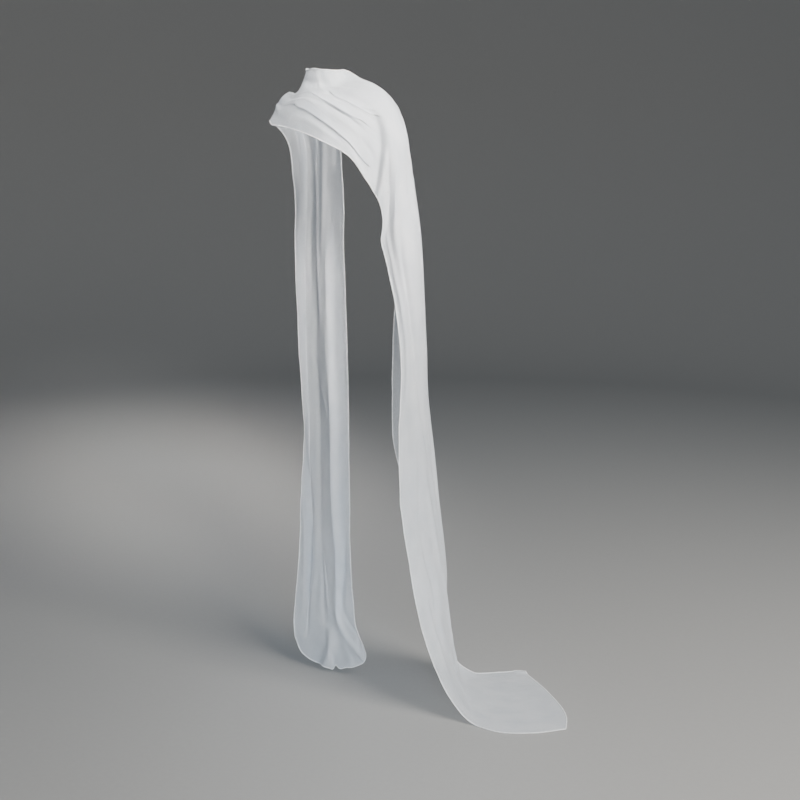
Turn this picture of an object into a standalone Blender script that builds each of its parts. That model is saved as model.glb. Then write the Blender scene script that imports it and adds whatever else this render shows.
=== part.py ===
"""A long chiffon scarf, worn: one rolled-hem length of sheer cloth in six joined stretches.

The scarf hangs down the wearer's back, comes over the right shoulder, covers the throat and the
upper chest in fanning pleats, goes over the left shoulder and arm like a cape sleeve, and falls
to the floor, where its end lies flat.

Frame: metres, +Z up. The wearer faces -Y and +X is the wearer's left. The origin is the middle
of the base of the neck, where the shoulders and neck hold the scarf up.
"""
import math
from collections import namedtuple

import bmesh
import bpy
import numpy as np

# Driving sizes, in metres
MOUNT_HEIGHT = 1.42      # base of the neck above the floor
WALL = 0.0012            # thickness of the cloth's wall
SEAM_GAP = 0.0003        # between two stretches
PLEAT_TURN = 0.0018      # radius of the round turn at a pleat's edges
PLEAT_MARGIN = 0.004     # plain cloth on each side of a pleat
LAP_START = 0.5          # the fold at which a pleat's layers start to overlap
FLOOR = -MOUNT_HEIGHT
MM = 0.001

CREASE_END = 0.6         # how bluntly a soft crease ends: 1 a long taper, 0 none
SHARP_ANGLE = 50.0       # degrees from which an edge is shaded sharp

# Sampling
CURVE_SAMPLES = 161      # points along one section's curve
GAP_COLUMNS = (5, 5, 5, 6)   # columns of faces before, between and after the three pleats
PROBE = 0.002            # half the distance over which the base surface's slope is taken

# The columns of the tables below
Section = namedtuple("Section", "name rows guides")
PleatKey = namedtuple("PleatKey", "section place overlap fold")
Crease = namedtuple("Crease", "name half_width height path")
Stretch = namedtuple("Stretch", "name first last")

# The scarf's sections in order, from the tail's end to the floor end. Each row holds the
# section's name, the rows of faces up to the next section, and its guide points in mm,
# from the lower (then front) hem to the upper (then back) hem.
SECTIONS = [Section(*row) for row in (
    ("tail_end", 2, ((-197, 120, -1344), (-180, 121, -1382), (-157, 121, -1397), (-128, 122, -1403),
                     (-112, 122, -1402), (-96, 122, -1408), (-86, 123, -1413), (-76, 123, -1399),
                     (-66, 123, -1407), (-45, 124, -1400), (-27, 125, -1396), (-16, 130, -1391),
                     (1, 134, -1379), (7, 134, -1360), (0, 134, -1337))),
    ("tail_flare", 3, ((-199, 120, -1290), (-60, 121, -1292), (-16, 125, -1286))),
    ("tail_calf", 2, ((-184, 121, -1140), (-28, 121, -1140))),
    ("tail_knee", 2, ((-170, 122, -930), (-30, 122, -930))),
    ("tail_thigh", 2, ((-159, 121, -760), (-31, 121, -760))),
    ("tail_seat", 2, ((-169, 122, -600), (-33, 122, -600))),
    ("tail_waist", 2, ((-170, 114, -390), (-34, 114, -390))),
    ("tail_blade", 2, ((-166, 106, -200), (-100, 114, -196), (-34, 110, -190))),
    ("back", 2, ((-165, 88, -110), (-112, 102, -98), (-36, 94, -76))),
    ("behind_shoulder", 2, ((-165, 54, -74), (-140, 64, -48), (-108, 68, -30), (-72, 66, -12),
                            (-42, 52, 20))),
    ("shoulder_top", 2, ((-160, 8, -56), (-147, 16, -22), (-114, 12, 5), (-84, 5, -1),
                         (-70, 3, 13), (-65, 3, 26), (-54, 3, 38), (-48, 3, 46))),
    ("shoulder_front", 2, ((-133, -25, -67), (-122, -22, -42), (-92, -24, -16), (-68, -22, -2),
                           (-54, -22, 18), (-41, -24, 46))),
    ("collarbone", 2, ((-86, -53, -74), (-76, -52, -44), (-58, -50, -20), (-44, -44, -2),
                       (-36, -41, 16), (-32, -41, 42))),
    ("throat", 3, ((-30, -84, -86), (-24, -78, -50), (-18, -68, -22), (-12, -58, -2),
                   (-9, -52, 16), (-7, -51, 43))),
    ("breast", 4, ((52, -110, -113), (44, -98, -64), (36, -82, -28), (27, -66, -4),
                   (20, -52, 14), (17, -48, 38))),
    ("breast_side", 4, ((113, -103, -145), (97, -94, -78), (80, -76, -34), (60, -54, -4),
                        (45, -36, 14), (41, -31, 37))),
    ("armpit", 4, ((135, -82, -186), (142, -74, -104), (128, -58, -46), (96, -34, 2),
                   (62, -14, 22), (50, -6, 40))),
    ("shoulder_left", 4, ((147, -72, -207), (168, -58, -134), (165, -36, -62), (132, -6, -2),
                          (90, 16, 18), (52, 24, 34))),
    ("upper_arm", 4, ((160, -61, -240), (186, -44, -168), (191, -14, -92), (152, 26, -34),
                      (110, 46, -6), (72, 56, 6))),
    ("mid_arm", 2, ((163, -53, -285), (191, -36, -222), (197, 4, -160), (162, 48, -100),
                    (104, 78, -66))),
    ("above_elbow", 3, ((157, -50, -318), (196, -34, -274), (206, 10, -232), (174, 56, -188),
                        (114, 82, -160))),
    ("elbow", 2, ((168, -42, -373), (204, -30, -344), (217, 14, -318), (190, 58, -290),
                  (122, 80, -268))),
    ("below_elbow", 3, ((184, -40, -442), (210, -26, -424), (221, 20, -408), (196, 64, -390),
                        (124, 82, -372))),
    ("waist", 2, ((198, -35, -590), (218, -14, -572), (225, 32, -556), (190, 78, -540),
                  (112, 90, -520))),
    ("hip", 2, ((192, -36, -740), (214, -10, -722), (222, 50, -706), (190, 96, -690),
                (104, 98, -664))),
    ("thigh", 2, ((198, -40, -885), (216, -6, -868), (221, 62, -850), (203, 112, -830),
                  (106, 102, -800))),
    ("knee", 2, ((213, -30, -1019), (228, 10, -1002), (229, 80, -980), (206, 134, -958),
                 (136, 124, -930))),
    ("calf", 2, ((229, -20, -1136), (240, 24, -1122), (240, 96, -1098), (212, 154, -1074),
                 (176, 176, -1054))),
    ("shin", 2, ((253, 0, -1254), (252, 50, -1244), (238, 120, -1224), (206, 190, -1202),
                 (190, 218, -1190))),
    ("ankle", 2, ((291, 20, -1352), (276, 74, -1350), (246, 148, -1340), (206, 228, -1326),
                  (186, 262, -1318))),
    ("touch_down", 2, ((344, 34, -1414), (318, 84, -1416), (276, 158, -1416), (220, 246, -1410),
                       (197, 276, -1396))),
    ("train", 1, ((420, 34, -1420), (388, 92, -1420), (338, 180, -1420), (284, 268, -1420),
                  (246, 286, -1420))),
    ("train_middle", 1, ((486, 66, -1420), (440, 140, -1420), (372, 232, -1420),
                         (294, 318, -1420))),
    ("train_end", 0, ((543, 116, -1420), (524, 172, -1420), (446, 268, -1420), (343, 355, -1420))),
)]
SECTION_NAMES = [section.name for section in SECTIONS]

# Knife pleats: for each, its place across the section (0 lower hem, 1 upper hem), the depth
# of its overlap in mm and how far it is folded (1 a full pleat, 0 flat, -1 folded the other way)
PLEATS = {
    "first": (
        ("tail_end", 0.15, 12, 0.0),
        ("tail_flare", 0.22, 12, 0.45),
        ("tail_calf", 0.22, 24, 1.0),
        ("tail_knee", 0.11, 18, 1.0),
        ("tail_thigh", 0.09, 9, 1.0),
        ("tail_waist", 0.12, 20, 1.0),
        ("back", 0.24, 14, 1.0),
        ("shoulder_top", 0.275, 14, 1.0),
        ("shoulder_front", 0.33, 14, 1.0),
        ("collarbone", 0.385, 14, 1.0),
        ("throat", 0.405, 16, 1.0),
        ("breast", 0.31, 16, 1.0),
        ("breast_side", 0.185, 14, 1.0),
        ("armpit", 0.10, 8, 0.45),
        ("shoulder_left", 0.10, 8, 0.0),
        ("train_end", 0.20, 10, 0.0),
    ),
    "second": (
        ("tail_end", 0.49, 12, 0.0),
        ("tail_blade", 0.46, 12, 0.0),
        ("back", 0.48, 12, 1.0),
        ("shoulder_top", 0.53, 12, 0.9),
        ("throat", 0.62, 10, 0.6),
        ("breast", 0.585, 12, 0.9),
        ("breast_side", 0.485, 14, 1.0),
        ("armpit", 0.39, 10, 0.3),
        ("shoulder_left", 0.34, 10, 0.0),
        ("train_end", 0.46, 10, 0.0),
    ),
    "third": (
        ("tail_end", 0.61, 10, 0.0),
        ("tail_flare", 0.77, 12, -0.5),
        ("tail_calf", 0.85, 28, -1.0),
        ("tail_knee", 0.80, 34, -1.0),
        ("tail_waist", 0.79, 34, -1.0),
        ("tail_blade", 0.74, 14, 0.0),
        ("shoulder_top", 0.82, 8, 0.0),
        ("throat", 0.82, 8, 0.0),
        ("breast", 0.76, 8, 0.0),
        ("breast_side", 0.625, 10, 0.9),
        ("armpit", 0.51, 10, 0.8),
        ("shoulder_left", 0.46, 10, 0.0),
        ("train_end", 0.74, 10, 0.0),
    ),
}

# Soft creases: half width in mm, height in mm (outwards for a ridge, inwards for a trough),
# and the line that each follows: section, share of the way to the next, place across
CREASES = [Crease(*row) for row in (
    ("neck_base", 7, -5, (("throat", 0.3, 0.77), ("breast", 0.3, 0.82), ("breast_side", 0.4, 0.82),
                          ("armpit", 0.0, 0.80))),
    ("neck_fold", 6, 4, (("breast_side", 0.1, 0.73), ("armpit", 0.0, 0.69),
                         ("shoulder_left", 0.5, 0.66))),
    ("shoulder_peak", 5, 4, (("behind_shoulder", 0.0, 0.20), ("shoulder_top", 0.0, 0.22),
                             ("shoulder_front", 0.2, 0.22))),
    ("throat_hollow", 8, -4, (("shoulder_front", 0.4, 0.82), ("collarbone", 0.5, 0.80),
                              ("throat", 0.6, 0.78))),
    ("chest_fall", 7, 3, (("collarbone", 0.4, 0.20), ("throat", 0.6, 0.18),
                          ("breast", 0.8, 0.08))),
    ("armpit_trough", 10, -10, (("armpit", 0.7, 0.38), ("shoulder_left", 0.0, 0.30),
                              ("shoulder_left", 0.1, 0.18), ("upper_arm", 0.0, 0.10),
                              ("mid_arm", 0.3, 0.08))),
    ("arm_ridge", 9, 5, (("shoulder_left", 0.6, 0.32), ("upper_arm", 0.2, 0.22),
                         ("mid_arm", 0.5, 0.17), ("elbow", 0.0, 0.12))),
    ("arm_front", 7, -5, (("above_elbow", 0.4, 0.22), ("elbow", 0.5, 0.20),
                          ("below_elbow", 0.4, 0.24), ("waist", 0.1, 0.28),
                          ("hip", 0.2, 0.38), ("hip", 0.8, 0.44))),
    ("arm_back_1", 10, -9, (("upper_arm", 0.4, 0.62), ("above_elbow", 0.0, 0.64),
                            ("below_elbow", 0.0, 0.66), ("hip", 0.5, 0.68))),
    ("arm_back_2", 9, 8, (("shoulder_left", 0.5, 0.74), ("mid_arm", 0.0, 0.76),
                          ("elbow", 0.0, 0.78), ("waist", 0.0, 0.80))),
    ("arm_back_3", 8, -7, (("mid_arm", 0.0, 0.88), ("elbow", 0.0, 0.90), ("waist", 0.6, 0.90))),
    ("fall_back_1", 10, 5, (("waist", 0.0, 0.60), ("hip", 0.5, 0.58), ("knee", 0.0, 0.62),
                            ("calf", 0.5, 0.70))),
    ("fall_back_2", 9, -8, (("hip", 0.0, 0.78), ("thigh", 0.5, 0.80), ("knee", 0.6, 0.84))),
    ("fall_front_1", 10, 4, (("waist", 0.5, 0.12), ("hip", 0.6, 0.16), ("knee", 0.0, 0.10))),
    ("fall_front_2", 12, 5, (("hip", 0.8, 0.30), ("thigh", 0.6, 0.36), ("knee", 0.8, 0.46))),
    ("shin_trough", 9, -9, (("thigh", 0.8, 0.20), ("knee", 0.4, 0.25), ("calf", 0.0, 0.32),
                            ("calf", 0.9, 0.37), ("shin", 0.5, 0.45), ("ankle", 0.2, 0.47),
                            ("touch_down", 0.2, 0.40))),
    ("shin_ridge", 10, 6, (("calf", 0.0, 0.50), ("shin", 0.2, 0.60), ("ankle", 0.0, 0.66),
                           ("ankle", 0.8, 0.66))),
    ("train_ripple_1", 14, 5, (("touch_down", 0.2, 0.60), ("train", 0.5, 0.62),
                               ("train_end", 0.0, 0.70))),
    ("train_ripple_2", 12, 4, (("ankle", 0.6, 0.26), ("train", 0.0, 0.28),
                               ("train_end", 0.0, 0.34))),
    ("train_ripple_3", 10, 3, (("touch_down", 0.6, 0.86), ("train_middle", 0.3, 0.90))),
    ("tail_valley", 6, 8, (("tail_flare", 0.0, 0.55), ("tail_flare", 0.6, 0.54),
                           ("tail_calf", 0.3, 0.47))),
    ("tail_lobe", 13, -12, (("tail_end", -0.4, 0.42), ("tail_end", 0.4, 0.52),
                            ("tail_flare", 0.0, 0.60))),
    ("tail_right", 7, -4, (("tail_flare", 0.3, 0.94), ("tail_calf", 0.1, 0.92),
                           ("tail_calf", 0.6, 0.94))),
    ("tail_middle", 12, 5, (("tail_flare", 0.0, 0.40), ("tail_calf", 0.5, 0.46),
                            ("tail_thigh", 0.0, 0.40), ("tail_waist", 0.0, 0.44))),
    ("tail_left", 9, -4, (("tail_end", 0.4, 0.10), ("tail_calf", 0.0, 0.12),
                          ("tail_knee", 0.0, 0.05))),
    ("back_fold_1", 10, 7, (("tail_seat", 0.5, 0.30), ("tail_blade", 0.0, 0.34),
                            ("behind_shoulder", 0.0, 0.36))),
    ("back_fold_2", 9, -6, (("tail_waist", 0.0, 0.58), ("tail_blade", 0.5, 0.62),
                            ("behind_shoulder", 0.5, 0.64))),
    ("back_fold_3", 8, 6, (("tail_blade", 0.2, 0.86), ("back", 0.6, 0.84),
                           ("shoulder_top", 0.0, 0.74))),
)]

# The stretches, each a separate solid: node name, first section, last section
STRETCHES = [Stretch(*row) for row in (
    ("back_tail", "tail_end", "back"),
    ("right_shoulder", "back", "shoulder_front"),
    ("front_drape", "shoulder_front", "shoulder_left"),
    ("left_shoulder", "shoulder_left", "elbow"),
    ("arm_streamer", "elbow", "ankle"),
    ("floor_train", "ankle", "train_end"),
)]

CHIFFON_COLOUR = (0.84, 0.87, 0.90, 1.0)
CHIFFON_ROUGHNESS = 0.8


def smooth_step(x):
    """Ease from 0 to 1."""
    x = np.clip(x, 0.0, 1.0)
    return x * x * (3.0 - 2.0 * x)


def hermite_tangents(knots, values):
    """Slopes for a smooth curve through values at uneven knots."""
    slopes = np.diff(values, axis=0) / np.diff(knots)[:, None]
    tangents = np.empty_like(values)
    tangents[0] = slopes[0]
    tangents[-1] = slopes[-1]
    steps = np.diff(knots)
    before = steps[:-1, None]
    after = steps[1:, None]
    tangents[1:-1] = (slopes[:-1] * after + slopes[1:] * before) / (before + after)
    return tangents


def hermite(knots, values, tangents, at):
    """The smooth curve's point at one place along the knots."""
    index = int(np.clip(np.searchsorted(knots, at) - 1, 0, len(knots) - 2))
    step = knots[index + 1] - knots[index]
    t = (at - knots[index]) / step
    start = (1 + 2 * t) * (1 - t) ** 2 * values[index] + t * (1 - t) ** 2 * step * tangents[index]
    end = t * t * (3 - 2 * t) * values[index + 1] + t * t * (t - 1) * step * tangents[index + 1]
    return start + end


def even_curve(guides):
    """A smooth curve through the guide points, resampled at even distances."""
    points = np.array(guides, float)
    knots = np.concatenate(([0.0], np.cumsum(np.linalg.norm(np.diff(points, axis=0), axis=1))))
    tangents = hermite_tangents(knots, points)
    fine = np.array([hermite(knots, points, tangents, at)
                     for at in np.linspace(0.0, knots[-1], 4 * CURVE_SAMPLES)])
    run = np.concatenate(([0.0], np.cumsum(np.linalg.norm(np.diff(fine, axis=0), axis=1))))
    even = np.linspace(0.0, run[-1], CURVE_SAMPLES)
    return np.stack([np.interp(even, run, fine[:, axis]) for axis in range(3)], axis=1)


CURVES = np.array([even_curve(section.guides) for section in SECTIONS]) * MM
SPACING = np.linalg.norm(np.diff(CURVES, axis=0), axis=2).mean(axis=1)
STATIONS = np.concatenate(([0.0], np.cumsum(SPACING)))
FLAT_CURVES = CURVES.reshape(len(SECTIONS), -1)
TANGENTS = hermite_tangents(STATIONS, FLAT_CURVES)
SHARES = np.linspace(0.0, 1.0, CURVE_SAMPLES)


def station(name):
    """Distance along the scarf to a section."""
    return STATIONS[SECTION_NAMES.index(name)]


def base_curve(at):
    """The unpleated surface's curve across the scarf at one distance along it."""
    return hermite(STATIONS, FLAT_CURVES, TANGENTS, at).reshape(-1, 3)


def unit(vectors):
    """Vectors scaled to length 1."""
    return vectors / np.linalg.norm(vectors, axis=-1, keepdims=True)


def level_tangents(knots, values):
    """Slopes for a smooth curve that never swings past its values."""
    slopes = np.diff(values, axis=0) / np.diff(knots)[:, None]
    before = slopes[:-1]
    after = slopes[1:]
    level = before * after <= 0
    tangents = np.zeros_like(values)
    tangents[1:-1] = np.where(level, 0.0, 2 * before * after / np.where(level, 1.0, before + after))
    return tangents


def pleat_track(keys):
    """A pleat's knots along the scarf, its keyed values and their slopes."""
    knots = np.array([station(key.section) for key in keys])
    values = np.array([(key.place, key.overlap, key.fold) for key in keys])
    return knots, values, level_tangents(knots, values)


PLEAT_TRACKS = [pleat_track([PleatKey(*row) for row in rows]) for rows in PLEATS.values()]


def pleat_keys(pleat, at):
    """A pleat's place, overlap and fold at one distance along the scarf."""
    knots, values, tangents = pleat
    place, overlap, fold = hermite(knots, values, tangents, at)
    return place, overlap * MM, fold


def pleat_profile(overlap, fold, length):
    """A pleat's points: shares of the section's length and heights off the surface.

    As the fold grows, flat cloth first rises as a step, then its layers come to overlap.
    """
    rise = min(abs(fold) / LAP_START, 1.0)
    lap = max(abs(fold) - LAP_START, 0.0) / (1.0 - LAP_START)
    reach = overlap / 2 + PLEAT_MARGIN
    half = overlap / 2
    side = PLEAT_TURN * math.cos(math.radians(30))
    lapped = np.array([half, half + side, half + side, half,
                       -half, -half - side, -half - side, -half])
    flat = np.linspace(-reach, reach, len(lapped) + 2)
    along = flat.copy()
    along[1:-1] = flat[1:-1] * (1.0 - rise) + lapped * lap
    step = np.linspace(-2.0, 2.0, len(lapped))
    layered = np.array([-2.0, -1.5, -0.5, 0.0, 0.0, 0.5, 1.5, 2.0])
    height = np.full(len(flat), 2.0)
    height[0] = -2.0
    height[1:-1] = step + (layered - step) * lap
    return along / length, height * PLEAT_TURN * math.copysign(rise, fold)


def cross_profile(at, length):
    """Shares across the section and heights off it, for every column of points."""
    shares = []
    heights = []
    done = 0.0
    lift = 0.0
    for pleat, columns in zip(PLEAT_TRACKS, GAP_COLUMNS):
        place, overlap, fold = pleat_keys(pleat, at)
        pleat_shares, pleat_heights = pleat_profile(overlap, fold, length)
        start = place + pleat_shares[0]
        gap = np.linspace(0.0, 1.0, columns + 1)[:-1]
        shares.extend(done + gap * (start - done))
        heights.extend(lift + (pleat_heights[0] - lift) * smooth_step(gap))
        shares.extend(place + pleat_shares[:-1])
        heights.extend(pleat_heights[:-1])
        done = place + pleat_shares[-1]
        lift = pleat_heights[-1]
    gap = np.linspace(0.0, 1.0, GAP_COLUMNS[-1] + 1)
    shares.extend(done + gap * (1.0 - done))
    heights.extend(lift * (1.0 - smooth_step(gap)))
    return np.array(shares), np.array(heights)


def at_shares(shares, curve):
    """A curve across the scarf, read at each column's share."""
    return np.stack([np.interp(shares, SHARES, curve[:, axis]) for axis in range(3)], axis=1)


def section_length(at):
    """Length of the base curve across the scarf at one distance along it."""
    return np.linalg.norm(np.diff(base_curve(at), axis=0), axis=1).sum()


def crease_line(path):
    """A crease's points on the flat cloth: metres along the scarf and in from the lower hem."""
    points = []
    for name, share, place in path:
        index = SECTION_NAMES.index(name)
        step = SPACING[min(index, len(SPACING) - 1)]
        at = STATIONS[index] + share * step
        points.append((at, place * section_length(at)))
    return np.array(points)


CREASE_LINES = [(crease.half_width * MM, crease.height * MM, crease_line(crease.path))
                for crease in CREASES]


def crease_heights(at, shares, length):
    """Height of the soft creases at each share across the section."""
    total = np.zeros_like(shares)
    spots = np.stack([np.full_like(shares, at), shares * length], axis=1)
    for half_width, height, line in CREASE_LINES:
        steps = np.diff(line, axis=0)
        sizes = np.linalg.norm(steps, axis=1)
        before = np.concatenate(([0.0], np.cumsum(sizes)))
        nearest = np.full(len(spots), np.inf)
        run = np.zeros(len(spots))
        for start, step, size, done in zip(line, steps, sizes, before):
            share = np.clip((spots - start) @ step / size ** 2, 0.0, 1.0)
            distance = np.linalg.norm(spots - start - share[:, None] * step, axis=1)
            closer = distance < nearest
            nearest[closer] = distance[closer]
            run[closer] = done + share[closer] * size
        swell = np.abs(np.sin(np.pi * run / before[-1])) ** CREASE_END
        total += height * swell * np.exp(-(nearest / half_width) ** 2)
    return total


def cloth_row(at):
    """One row of the cloth's middle surface: its points and the way along the scarf."""
    at = float(np.clip(at, STATIONS[0], STATIONS[-1]))
    curve = base_curve(at)
    low = max(at - PROBE, STATIONS[0])
    high = min(at + PROBE, STATIONS[-1])
    ahead = unit(base_curve(high) - base_curve(low))
    normals = unit(np.cross(ahead, unit(np.gradient(curve, axis=0))))
    length = section_length(at)
    shares, heights = cross_profile(at, length)
    heights = heights + crease_heights(at, shares, length)
    points = at_shares(shares, curve) + at_shares(shares, normals) * heights[:, None]
    points[:, 2] = np.maximum(points[:, 2], FLOOR + WALL / 2)
    return points, unit(at_shares(shares, ahead))


def scarf_rows():
    """Distances along the scarf of every row of points, and each section's row number."""
    distances = []
    row_of = {}
    for section, start, end in zip(SECTIONS, STATIONS, STATIONS[1:]):
        row_of[section.name] = len(distances)
        distances.extend(np.linspace(start, end, section.rows + 1)[:-1])
    row_of[SECTION_NAMES[-1]] = len(distances)
    distances.append(STATIONS[-1])
    return np.array(distances), row_of


def cloth_wall(distances):
    """Outer and inner points, half a wall off the middle surface, and the way along the scarf."""
    rows = [cloth_row(at) for at in distances]
    middle = np.array([points for points, _ in rows])
    ways = np.array([ahead for _, ahead in rows])
    normals = unit(np.cross(np.gradient(middle, distances, axis=0),
                            np.gradient(middle, axis=1)))
    outer = middle + normals * WALL / 2
    inner = middle - normals * WALL / 2
    outer[..., 2] = np.maximum(outer[..., 2], FLOOR)
    inner[..., 2] = np.maximum(inner[..., 2], FLOOR)
    return outer, inner, ways


def stretch_points(points, ways, start, end):
    """One stretch's rows, drawn in by half a seam gap where another stretch follows."""
    rows = points[start:end + 1].copy()
    if start > 0:
        rows[0] += ways[start] * SEAM_GAP / 2
    if end < len(points) - 1:
        rows[-1] -= ways[end] * SEAM_GAP / 2
    return rows


def wall_mesh(name, outer, inner):
    """A closed mesh of the cloth's wall, split along each square's shorter diagonal.

    Two stretches that meet split their ends' squares alike, so the gap between them stays even.
    """
    rows, columns = outer.shape[:2]
    mesh = bpy.data.meshes.new(name)
    build = bmesh.new()
    outer_verts = [[build.verts.new(point) for point in row] for row in outer]
    inner_verts = [[build.verts.new(point) for point in row] for row in inner]
    for i in range(rows - 1):
        for j in range(columns - 1):
            rising = np.linalg.norm(outer[i + 1, j + 1] - outer[i, j])
            falling = np.linalg.norm(outer[i + 1, j] - outer[i, j + 1])
            if rising <= falling:
                triangles = (((i, j), (i + 1, j), (i + 1, j + 1)),
                             ((i, j), (i + 1, j + 1), (i, j + 1)))
            else:
                triangles = (((i, j), (i + 1, j), (i, j + 1)),
                             ((i + 1, j), (i + 1, j + 1), (i, j + 1)))
            for triangle in triangles:
                build.faces.new([outer_verts[a][b] for a, b in triangle])
                build.faces.new([inner_verts[a][b] for a, b in reversed(triangle)])
    rim = [(0, j) for j in range(columns)]
    rim += [(i, columns - 1) for i in range(1, rows)]
    rim += [(rows - 1, j) for j in range(columns - 2, -1, -1)]
    rim += [(i, 0) for i in range(rows - 2, 0, -1)]
    for (a, b), (c, d) in zip(rim, rim[1:] + rim[:1]):
        corners = [outer_verts[a][b], outer_verts[c][d], inner_verts[c][d], inner_verts[a][b]]
        if (a, b) > (c, d):
            corners = corners[1:] + corners[:1]
        build.faces.new(corners[:3])
        build.faces.new(corners[2:] + corners[:1])
    bmesh.ops.recalc_face_normals(build, faces=build.faces)
    build.to_mesh(mesh)
    build.free()
    mesh.shade_smooth()
    mesh.set_sharp_from_angle(angle=math.radians(SHARP_ANGLE))
    return mesh


def chiffon(name):
    """Pale, matt, slightly blue white cloth."""
    material = bpy.data.materials.new(name)
    material.use_nodes = True
    shader = material.node_tree.nodes["Principled BSDF"]
    shader.inputs["Base Color"].default_value = CHIFFON_COLOUR
    shader.inputs["Roughness"].default_value = CHIFFON_ROUGHNESS
    shader.inputs["Metallic"].default_value = 0.0
    return material


def make_stretch(name, outer, inner):
    """One stretch of the scarf as a closed solid."""
    mesh = wall_mesh(name, outer, inner)
    mesh.materials.append(chiffon(name))
    stretch = bpy.data.objects.new(name, mesh)
    bpy.context.collection.objects.link(stretch)
    return stretch


def main():
    for old in list(bpy.data.objects):
        bpy.data.objects.remove(old, do_unlink=True)
    distances, row_of = scarf_rows()
    outer, inner, ways = cloth_wall(distances)
    for stretch in STRETCHES:
        start = row_of[stretch.first]
        end = row_of[stretch.last]
        make_stretch(stretch.name, stretch_points(outer, ways, start, end),
                     stretch_points(inner, ways, start, end))


main()
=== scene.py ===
"""The look of a long chiffon scarf, worn: sheer cloth, its rolled hem and the hem's stitches.

Frame: metres, +Z up. The wearer faces -Y and +X is the wearer's left. The origin is the middle
of the base of the neck.
"""
import math
from collections import namedtuple

import bpy
import numpy as np
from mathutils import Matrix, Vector


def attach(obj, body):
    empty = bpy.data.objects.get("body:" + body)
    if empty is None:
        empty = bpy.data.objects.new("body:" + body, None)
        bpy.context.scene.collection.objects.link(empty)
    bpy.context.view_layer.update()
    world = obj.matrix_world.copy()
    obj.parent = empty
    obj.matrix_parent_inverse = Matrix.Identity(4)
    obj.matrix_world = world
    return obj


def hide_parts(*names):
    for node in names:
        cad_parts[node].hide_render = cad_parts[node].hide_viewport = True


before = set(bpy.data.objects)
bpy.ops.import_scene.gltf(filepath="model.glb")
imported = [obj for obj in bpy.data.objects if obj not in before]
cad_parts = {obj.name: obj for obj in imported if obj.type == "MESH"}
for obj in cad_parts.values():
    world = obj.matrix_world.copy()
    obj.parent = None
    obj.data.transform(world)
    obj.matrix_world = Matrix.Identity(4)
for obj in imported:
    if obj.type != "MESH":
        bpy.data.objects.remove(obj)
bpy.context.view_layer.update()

# Sizes, in metres
MOUNT_HEIGHT = 1.42        # base of the neck above the floor
FLOOR = -MOUNT_HEIGHT
MM = 0.001
PLEAT_TURN = 0.0007        # radius of the round turn at a pleat's edges
PLEAT_MARGIN = 0.004       # plain cloth on each side of a pleat
PLEAT_LIP = 0.0008         # how far a pleat's top edge stands up
LIP_BELOW = 0.0013         # reach of that rise, before the edge and behind it
LIP_ABOVE = 0.0030
LIFT = 0.0008              # the cloth's middle above the floor where it lies
HEM_RADIUS = 0.0014
HEM_PITCH = 0.0030         # between two rings of the hem
HEM_REACH = 0.013          # how far the hem's wave reaches into the cloth
STITCH_PITCH = 0.0042
THREAD_RADIUS = 0.00016
STUDIO_DROP = 0.0006       # the studio's floor below the part's, so that no two faces meet

# Shares, a seed and two angles
LAP_START = 0.5            # the fold at which a pleat's layers start to overlap
FLAT_SPAN = 0.75           # part of a pleat's reach that its columns cover while it is flat
CREASE_END = 0.6           # how bluntly a soft crease ends: 1 a long taper, 0 none
CREASE_REACH = 4           # half widths within which a crease is worked out
HEM_UNEVEN = 0.16          # how much the hem's thickness varies
HEM_SEED = 21
STITCH_SLANT = 0.35        # how far a stitch leans each way, in pitches
STITCH_LIFT = 1.12         # a stitch's distance from the roll's middle, in the roll's radii
STITCH_TURN = (205, 70)    # where a stitch starts and ends round the roll, in degrees

# Sampling
CURVE_SAMPLES = 161
GAP_COLUMNS = (17, 19, 19, 21)  # columns before, between and after the three pleats
LAYER_COLUMNS = 6               # columns on a pleat's bottom and top layer
TURN_COLUMNS = 5                # columns round each of a pleat's turns
MIDDLE_COLUMNS = 6              # columns on a pleat's middle layer
PROBE = 0.002                   # how far along the scarf its direction is felt for, in metres
CREASE_STEPS = 7                # straight pieces between two points of a crease's line
EDGE_SPAN = 4                   # columns over which the way out of the cloth is felt for
HEM_SIDES = 7
STITCH_STEPS = 5
STITCH_SIDES = 4

# The weave, in metres
WARP_PITCH = 0.00046       # between two threads that run along the scarf
WEFT_PITCH = 0.00050       # between two threads that run across it
THREAD_WAVER = 0.00035     # how far the threads stray
WEAVE_DEPTH = 0.00012      # depth of the weave's bump

# The cloth's look: how much of one layer the gaps and the threads cover, and its two colours
CLOTH_COVER = (0.24, 0.82)
CLOTH_SHADE = (0.80, 0.84, 0.89, 1.0)
CLOTH_LIGHT = (0.87, 0.89, 0.92, 1.0)
HEM_COVER = (0.94, 1.0)
HEM_SHADE = (0.94, 0.945, 0.955, 1.0)
HEM_LIGHT = (0.98, 0.98, 0.98, 1.0)

# The studio: a round floor, its sweep and its wall, in metres
STUDIO_RADIUS = 7.0
STUDIO_SWEEP = 2.2
STUDIO_WALL = 5.5
STUDIO_SPOKES = 64
STUDIO_RINGS = (1.5, 3.0)  # radii of the rings on its flat part
SWEEP_RINGS = 13
AIR_COLOUR = (0.66, 0.82, 1.0, 1.0)
AIR_STRENGTH = 0.24

# The camera: its place in metres, its angles in degrees, its lens and sensor in mm
CAMERA_PLACE = (1.2495, -2.0198, -0.24)
CAMERA_DOWN = 10.6         # how far it looks down
CAMERA_TURN = 28.0         # how far it stands round to the wearer's left
CAMERA_LENS = 47.25
CAMERA_SENSOR = 36.0
CAMERA_REACH = 60.0        # the farthest that it sees, in metres

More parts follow.
